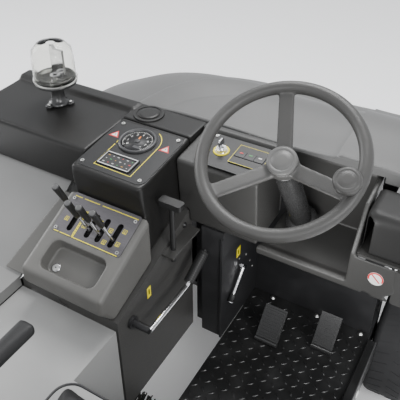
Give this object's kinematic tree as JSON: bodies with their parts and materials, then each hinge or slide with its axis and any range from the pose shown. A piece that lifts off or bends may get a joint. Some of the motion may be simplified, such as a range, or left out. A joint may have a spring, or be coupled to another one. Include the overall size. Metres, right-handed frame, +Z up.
{
  "type": "ride on sweeper",
  "caption": "Ride-on floor sweeper with an operator's station of steering wheel, console and instruments, roller and side brushes, and a front hopper that lifts and tips.",
  "frame": {"origin": "centre of the machine's footprint on the ground", "axes": "+Z up, +Y forward along the machine's length, +X to the operator's right"},
  "size_m": [1.32, 2.22, 1.2086],
  "materials": {
    "black_steel": "satin",
    "tread_steel": "gloss",
    "dark_plastic": "grained",
    "mid_plastic": "grained",
    "light_plastic": "grained",
    "brushed_plate": "brushed",
    "black_plate": "satin",
    "chrome_metal": "polished",
    "lever_metal": "satin",
    "rubber": "matt",
    "tyre": "matt",
    "bristle": "matt",
    "cast_iron": "painted",
    "clear_lens": "clear",
    "seat_fabric": "grained"
  },
  "bodies": {
    "chassis": {"chassis_frame": "black_steel", "floor_plate": "tread_steel", "footwell_wall": "black_steel", "side_box": "dark_plastic", "console": "mid_plastic", "lever_plate": "brushed_plate", "instrument_housing": "dark_plastic", "instrument_plate": "black_plate", "gauge": "black_plate", "display_unit": "black_plate", "dash_wing": "dark_plastic", "cover_cap": "dark_plastic", "dash_right": "dark_plastic", "right_fender": "dark_plastic", "switch_plate": "black_plate", "rocker_frame": "black_plate", "key_switch": "chrome_metal", "steering_column": "black_steel", "column_boot": "rubber", "left_cover": "light_plastic", "seat_deck": "light_plastic", "engine_block": "cast_iron", "seat_base": "black_steel", "beacon_base": "rubber", "beacon_lens": "clear_lens", "plate_screws": "chrome_metal"},
    "lift_arms": {"lift_arms": "black_steel"},
    "cradle": {"hopper_cradle": "black_steel"},
    "hopper": {"hopper_bin": "black_steel", "hopper_hood": "light_plastic"},
    "front_wheel_left": {"front_wheel_left": "tyre"},
    "front_wheel_right": {"front_wheel_right": "tyre"},
    "rear_fork": {"rear_fork": "black_steel"},
    "rear_wheel": {"rear_wheel": "tyre"},
    "main_brush": {"main_brush": "bristle"},
    "side_brush_arm": {"side_brush_arm": "black_steel"},
    "side_brush": {"side_brush": "bristle"},
    "steering_wheel": {"steering_wheel": "dark_plastic"},
    "spinner_knob": {"spinner_knob": "dark_plastic"},
    "hydraulic_lever_1": {"hydraulic_lever_1": "lever_metal"},
    "hydraulic_lever_2": {"hydraulic_lever_2": "lever_metal"},
    "hydraulic_lever_3": {"hydraulic_lever_3": "lever_metal"},
    "hydraulic_lever_4": {"hydraulic_lever_4": "lever_metal"},
    "lock_handle": {"lock_handle": "dark_plastic"},
    "parking_brake": {"parking_brake_lever": "lever_metal"},
    "brake_button": {"brake_button": "dark_plastic"},
    "hand_lever": {"hand_lever": "chrome_metal"},
    "accelerator_pedal": {"accelerator_pedal": "rubber"},
    "brake_pedal": {"brake_pedal": "rubber"},
    "ignition_key": {"ignition_key": "dark_plastic"},
    "rocker_red": {"rocker_red": "dark_plastic"},
    "rocker_green": {"rocker_green": "dark_plastic"},
    "rocker_white": {"rocker_white": "dark_plastic"},
    "seat": {"seat_pan": "black_steel", "seat_cushion": "seat_fabric", "seat_back": "seat_fabric"},
    "armrest_left": {"armrest_left": "seat_fabric"},
    "armrest_right": {"armrest_right": "seat_fabric"},
    "engine_hood": {"engine_hood": "light_plastic"},
    "beacon_reflector": {"beacon_reflector": "chrome_metal"}
  },
  "joints": [
    {"name": "lift_arm_hinge", "type": "hinge", "parent": "chassis", "child": "lift_arms", "pos_m": [0, 0.5, 0.6], "axis": [1, 0, 0], "range_deg": [0, 50]},
    {"name": "cradle_follower", "type": "hinge", "parent": "lift_arms", "child": "cradle", "pos_m": [0, 0.95315, 0.38869], "axis": [1, 0, 0], "range_deg": [-50, 0]},
    {"name": "hopper_tilt", "type": "hinge", "parent": "cradle", "child": "hopper", "pos_m": [0, 1.07, 0.185], "axis": [1, 0, 0], "range_deg": [-50, 0]},
    {"name": "front_wheel_left_spin", "type": "hinge", "parent": "chassis", "child": "front_wheel_left", "pos_m": [-0.572, 0.64, 0.2], "axis": [1, 0, 0], "continuous": true},
    {"name": "front_wheel_right_spin", "type": "hinge", "parent": "chassis", "child": "front_wheel_right", "pos_m": [0.572, 0.64, 0.2], "axis": [1, 0, 0], "continuous": true},
    {"name": "rear_fork_steer", "type": "hinge", "parent": "chassis", "child": "rear_fork", "pos_m": [0, -0.8, 0.43], "axis": [0, 0, 1], "range_deg": [-70, 70]},
    {"name": "rear_wheel_spin", "type": "hinge", "parent": "rear_fork", "child": "rear_wheel", "pos_m": [0, -0.8, 0.2], "axis": [1, 0, 0], "continuous": true},
    {"name": "main_brush_spin", "type": "hinge", "parent": "chassis", "child": "main_brush", "pos_m": [0, -0.12, 0.166], "axis": [1, 0, 0], "continuous": true},
    {"name": "side_brush_swing", "type": "hinge", "parent": "chassis", "child": "side_brush_arm", "pos_m": [0.47, 0.34, 0.2], "axis": [0, 0, 1], "range_deg": [-15, 10]},
    {"name": "side_brush_spin", "type": "hinge", "parent": "side_brush_arm", "child": "side_brush", "pos_m": [0.5, 0.23, 0.15], "axis": [0, 0, 1], "continuous": true},
    {"name": "steering_turn", "type": "hinge", "parent": "chassis", "child": "steering_wheel", "pos_m": [0.27, 0.175, 1.1], "axis": [0, -0.5195, 0.8545], "range_deg": [-720, 720]},
    {"name": "spinner_knob_spin", "type": "hinge", "parent": "steering_wheel", "child": "spinner_knob", "pos_m": [0.4285, 0.14233, 1.11524], "axis": [0, -0.5195, 0.8545], "continuous": true},
    {"name": "hydraulic_lever_1_tilt", "type": "hinge", "parent": "chassis", "child": "hydraulic_lever_1", "pos_m": [-0.1885, 0.03252, 0.81505], "axis": [1, 0, 0], "range_deg": [-12, 24]},
    {"name": "hydraulic_lever_2_tilt", "type": "hinge", "parent": "chassis", "child": "hydraulic_lever_2", "pos_m": [-0.1345, 0.00939, 0.80431], "axis": [1, 0, 0], "range_deg": [-24, 11]},
    {"name": "hydraulic_lever_3_tilt", "type": "hinge", "parent": "chassis", "child": "hydraulic_lever_3", "pos_m": [-0.102, 0.00939, 0.80431], "axis": [1, 0, 0], "range_deg": [-24, 11]},
    {"name": "hydraulic_lever_4_tilt", "type": "hinge", "parent": "chassis", "child": "hydraulic_lever_4", "pos_m": [-0.0635, 0.00939, 0.80431], "axis": [1, 0, 0], "range_deg": [-24, 11]},
    {"name": "lock_handle_lift", "type": "slide", "parent": "chassis", "child": "lock_handle", "axis": [0, 0, 1], "range_m": [0, 0.03]},
    {"name": "parking_brake_pull", "type": "hinge", "parent": "chassis", "child": "parking_brake", "pos_m": [0.061, -0.06, 0.654], "axis": [1, 0, 0], "range_deg": [0, 30]},
    {"name": "brake_button_press", "type": "slide", "parent": "parking_brake", "child": "brake_button", "axis": [0, -0.8944, -0.4472], "range_m": [0, 0.005], "stiffness_N_per_m": 300},
    {"name": "hand_lever_turn", "type": "hinge", "parent": "chassis", "child": "hand_lever", "pos_m": [0.121, 0.335, 0.566], "axis": [1, 0, 0], "range_deg": [0, 60]},
    {"name": "accelerator_press", "type": "hinge", "parent": "chassis", "child": "accelerator_pedal", "pos_m": [0.39, 0.322, 0.374], "axis": [1, 0, 0], "range_deg": [-18, 0], "stiffness_Nm_per_rad": 6, "springref_deg": 5.73},
    {"name": "brake_press", "type": "hinge", "parent": "chassis", "child": "brake_pedal", "pos_m": [0.238, 0.266, 0.374], "axis": [1, 0, 0], "range_deg": [-18, 0], "stiffness_Nm_per_rad": 8, "springref_deg": 5.73},
    {"name": "key_turn", "type": "hinge", "parent": "chassis", "child": "ignition_key", "pos_m": [0.072, 0.27399, 0.99167], "axis": [0, -0.0872, 0.9962], "range_deg": [-90, 0]},
    {"name": "rocker_red_rock", "type": "hinge", "parent": "chassis", "child": "rocker_red", "pos_m": [0.1244, 0.27772, 0.99501], "axis": [1, 0, 0], "range_deg": [-5, 5]},
    {"name": "rocker_green_rock", "type": "hinge", "parent": "chassis", "child": "rocker_green", "pos_m": [0.15, 0.27772, 0.99501], "axis": [1, 0, 0], "range_deg": [-5, 5]},
    {"name": "rocker_white_rock", "type": "hinge", "parent": "chassis", "child": "rocker_white", "pos_m": [0.1756, 0.27772, 0.99501], "axis": [1, 0, 0], "range_deg": [-5, 5]},
    {"name": "seat_slide", "type": "slide", "parent": "chassis", "child": "seat", "axis": [0, 1, 0], "range_m": [-0.02, 0.1]},
    {"name": "armrest_left_fold", "type": "hinge", "parent": "seat", "child": "armrest_left", "pos_m": [-0.002, -0.746, 0.932], "axis": [1, 0, 0], "range_deg": [0, 85]},
    {"name": "armrest_right_fold", "type": "hinge", "parent": "seat", "child": "armrest_right", "pos_m": [0.542, -0.746, 0.932], "axis": [1, 0, 0], "range_deg": [0, 85]},
    {"name": "engine_hood_open", "type": "hinge", "parent": "chassis", "child": "engine_hood", "pos_m": [0.15, -1.048, 0.5], "axis": [1, 0, 0], "range_deg": [0, 45]},
    {"name": "reflector_spin", "type": "hinge", "parent": "chassis", "child": "beacon_reflector", "pos_m": [-0.449, 0.262, 1.08], "axis": [0, 0, 1], "continuous": true}
  ],
  "couplings": [
    {"joint": "cradle_follower", "follows": "lift_arm_hinge", "ratio": -1},
    {"joint": "rear_fork_steer", "follows": "steering_turn", "ratio": -0.095}
  ]
}
